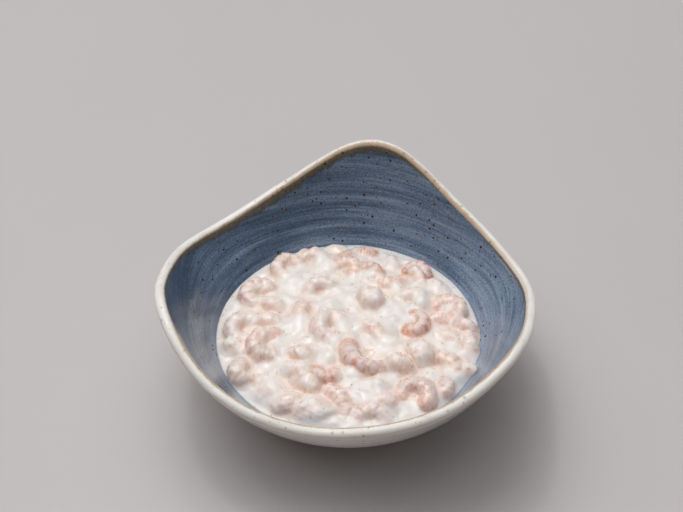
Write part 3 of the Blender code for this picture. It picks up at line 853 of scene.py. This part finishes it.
tree = bpy.data.node_groups.new("strew_grains", "GeometryNodeTree")
tree.interface.new_socket("Geometry", in_out="INPUT", socket_type="NodeSocketGeometry")
density = tree.interface.new_socket("Grains on a square metre", in_out="INPUT",
                                    socket_type="NodeSocketFloat")
seed = tree.interface.new_socket("Seed", in_out="INPUT", socket_type="NodeSocketInt")
tree.interface.new_socket("Geometry", in_out="OUTPUT", socket_type="NodeSocketGeometry")
nodes = Shade(tree)
given = tree.nodes.new("NodeGroupInput")
surface, wanted, chosen = (Shade(tree, given.outputs[i]) for i in range(3))
where = nodes.node("GeometryNodeInputNamedAttribute", {"Name": "open_top"}, output="Attribute",
                   data_type="FLOAT")
spread = nodes.node("GeometryNodeDistributePointsOnFaces",
                    {"Mesh": surface, "Density": where * wanted, "Seed": chosen}, output="Points")
ball = nodes.node("GeometryNodeMeshIcoSphere", {"Radius": 1.0, "Subdivisions": 1}, output="Mesh")
size = nodes.node("FunctionNodeRandomValue", {2: 0.0, 3: 1.0, "Seed": 1}, output=1)
size = size * size * (LARGEST - SMALLEST) + SMALLEST
set_out = nodes.node("GeometryNodeInstanceOnPoints",
                     {"Points": spread, "Instance": ball, "Scale": size}, output="Instances")
toned = nodes.node("GeometryNodeStoreNamedAttribute",
                   {"Geometry": set_out, "Name": "tone",
                    "Value": nodes.node("FunctionNodeRandomValue", {2: 0.0, 3: 1.0, "Seed": 2},
                                        output=1)},
                   output="Geometry", data_type="FLOAT", domain="INSTANCE")
real = nodes.node("GeometryNodeRealizeInstances", {"Geometry": toned}, output="Geometry")
painted = nodes.node("GeometryNodeSetMaterial", {"Geometry": real, "Material": grain_skin},
                     output="Geometry")
tree.links.new(painted.output, tree.nodes.new("NodeGroupOutput").inputs[0])

specks = bpy.data.objects.new("specks", dressing.data.copy())
bpy.context.scene.collection.objects.link(specks)
strew = specks.modifiers.new("strew", "NODES")
strew.node_group = tree
strew[density.identifier] = GRAINS
strew[seed.identifier] = GRAIN_SEED
bpy.context.view_layer.update()
strewn = specks.evaluated_get(bpy.context.evaluated_depsgraph_get())
plain_mesh = bpy.data.meshes.new_from_object(strewn)
specks.modifiers.clear()
specks.data = plain_mesh
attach(specks, "root")
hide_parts("salad")


# ---- Table, light and camera ----------------------------------------------------------------------
# A plain pale table top. A broad soft window, with a brighter pane and a small lamp in its middle,
# lights it from above, behind and a little to the left, and a weak fill stands in front. A long lens
# looks down at the bowl from the front, with no corner of the bowl cut off.
TABLE_HALF = 3                                  # half the side of the square table, in metres
TABLE_GREYS = (srgb(197, 192, 192), srgb(205, 200, 200))
WINDOW_PLACE = Vector((-0.52, 0.60, 2.7))
FILL_PLACE = Vector((0.4, -0.9, 1.3))
# The lights: name, width and depth in metres, watts, place.
LIGHTS = (
    ("window", (4.4, 4.0), 55.6, WINDOW_PLACE),
    ("window_pane", (1.7, 1.5), 29.4, WINDOW_PLACE),
    ("lamp", (0.22, 0.22), 5.0, WINDOW_PLACE),
    ("fill", (1.4, 1.4), 1.6, FILL_PLACE),
)
LIT_POINT = Vector((0, 0, 0.03))                # they all face the heap's middle
SKY = (0.95, 0.98, 1.0, 1)
SKY_STRENGTH = 0.09
ELEVATION = math.radians(42.71)                 # how steeply the camera looks down
LENS = 68.5                                     # its focal length and film width in millimetres
SENSOR = 36.0
PICTURE = (683, 512)
RIM_AT = (348.1, 285.3)                         # where the rim's centre falls in the picture
DISTANCE = 0.638                                # from the camera to that centre, along its sight

table_corners = np.array(((-1, -1, 0), (1, -1, 0), (1, 1, 0), (-1, 1, 0)), float) * TABLE_HALF
table = mesh_object("table", table_corners, [(0, 1, 2, 3)])
plain, nodes, shader = new_material("table_top", Roughness=0.55)
place = nodes.node("ShaderNodeTexCoord", output="Object")
plug(shader, Base_Color=place.noise(3.0, 4.0).mix(*TABLE_GREYS))
table.data.materials.append(plain)

for name, size, power, position in LIGHTS:
    light = bpy.data.lights.new(name, "AREA")
    light.shape = "RECTANGLE"
    light.size, light.size_y = size
    light.energy = power
    holder = bpy.data.objects.new(name, light)
    bpy.context.scene.collection.objects.link(holder)
    holder.location = position
    holder.rotation_euler = (LIT_POINT - position).to_track_quat("-Z", "Y").to_euler()

world = bpy.data.worlds.new("studio")
world.use_nodes = True
sky = world.node_tree.nodes["Background"]
sky.inputs["Color"].default_value = SKY
sky.inputs["Strength"].default_value = SKY_STRENGTH
bpy.context.scene.world = world
bpy.context.scene.view_settings.view_transform = "Standard"

lens = bpy.data.cameras.new("camera")
lens.lens = LENS
lens.sensor_width = SENSOR
camera = bpy.data.objects.new("camera", lens)
bpy.context.scene.collection.objects.link(camera)
right = Vector((1, 0, 0))
forward = Vector((0, math.cos(ELEVATION), -math.sin(ELEVATION)))
upward = Vector((0, math.sin(ELEVATION), math.cos(ELEVATION)))
pixel = DISTANCE * SENSOR / LENS / PICTURE[0]   # size of a pixel at the bowl
aside = (RIM_AT[0] - PICTURE[0] / 2) * pixel
below = (RIM_AT[1] - PICTURE[1] / 2) * pixel
rim_centre = Vector((AXIS[0], AXIS[1], RIM[1]))
turned = Matrix((right, upward, -forward)).transposed().to_4x4()
turned.translation = rim_centre - aside * right + below * upward - DISTANCE * forward
camera.matrix_world = turned
bpy.context.scene.camera = camera
